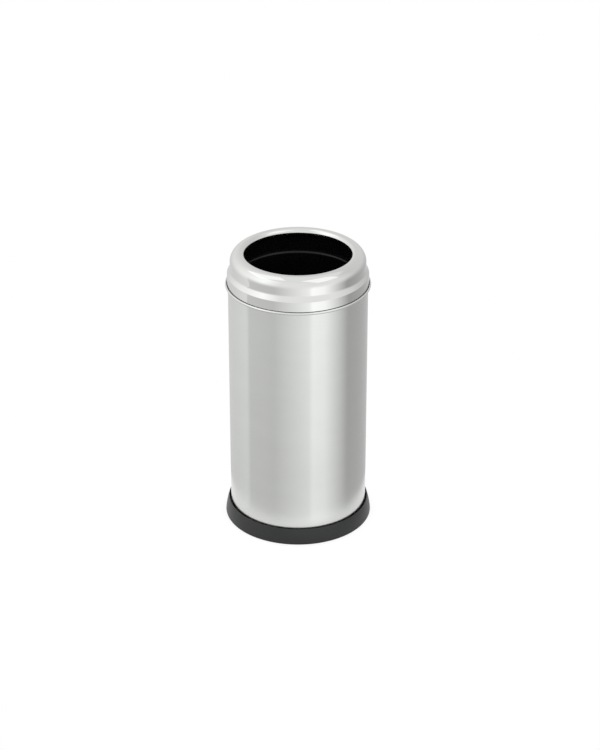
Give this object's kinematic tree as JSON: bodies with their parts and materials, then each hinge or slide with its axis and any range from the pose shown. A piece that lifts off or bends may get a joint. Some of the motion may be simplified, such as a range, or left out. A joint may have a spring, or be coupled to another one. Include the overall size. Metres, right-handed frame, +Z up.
{
  "type": "trash can",
  "caption": "Round open-top steel trash can on a flared moulded base ring, with a lift-off polished ring lid and a lift-out black bucket with a folding bail.",
  "frame": {"origin": "on the floor under the drum's axis", "axes": "+Z up along the drum's axis, front along -Y, +X to the right of the front view"},
  "size_m": [0.2691, 0.269, 0.5267],
  "materials": {
    "drum_steel": "satin, fine grain round the drum",
    "plate_steel": "as rolled",
    "base_plastic": "fine moulded grain",
    "screw_steel": "zinc plated",
    "pad_rubber": "matte",
    "bucket_plastic": "glossy moulded",
    "wire_steel": "plated",
    "cap_plastic": "moulded",
    "grip_plastic": "moulded, ribbed",
    "lid_steel": "polished",
    "lining_plastic": "glossy moulded"
  },
  "bodies": {
    "drum": {"body_shell": "drum_steel", "bottom_plate": "plate_steel", "base_ring": "base_plastic", "base_screws": "screw_steel", "foot_pads": "pad_rubber"},
    "bucket": {"inner_bucket": "bucket_plastic"},
    "bail": {"bail_wire": "wire_steel", "bail_caps": "cap_plastic", "bail_grip": "grip_plastic"},
    "lid": {"lid_cover": "lid_steel", "lid_lining": "lining_plastic"}
  },
  "joints": [
    {"name": "bucket_lift", "type": "slide", "parent": "drum", "child": "bucket", "axis": [0, 0, 1], "range_m": [0, 0.47]},
    {"name": "lid_lift", "type": "slide", "parent": "bucket", "child": "lid", "axis": [0, 0, 1], "range_m": [0, 0.15]},
    {"name": "bail_swing", "type": "hinge", "parent": "bucket", "child": "bail", "pos_m": [0, 0, 0.4545], "axis": [-1, 0, 0], "range_deg": [0, 180]}
  ]
}
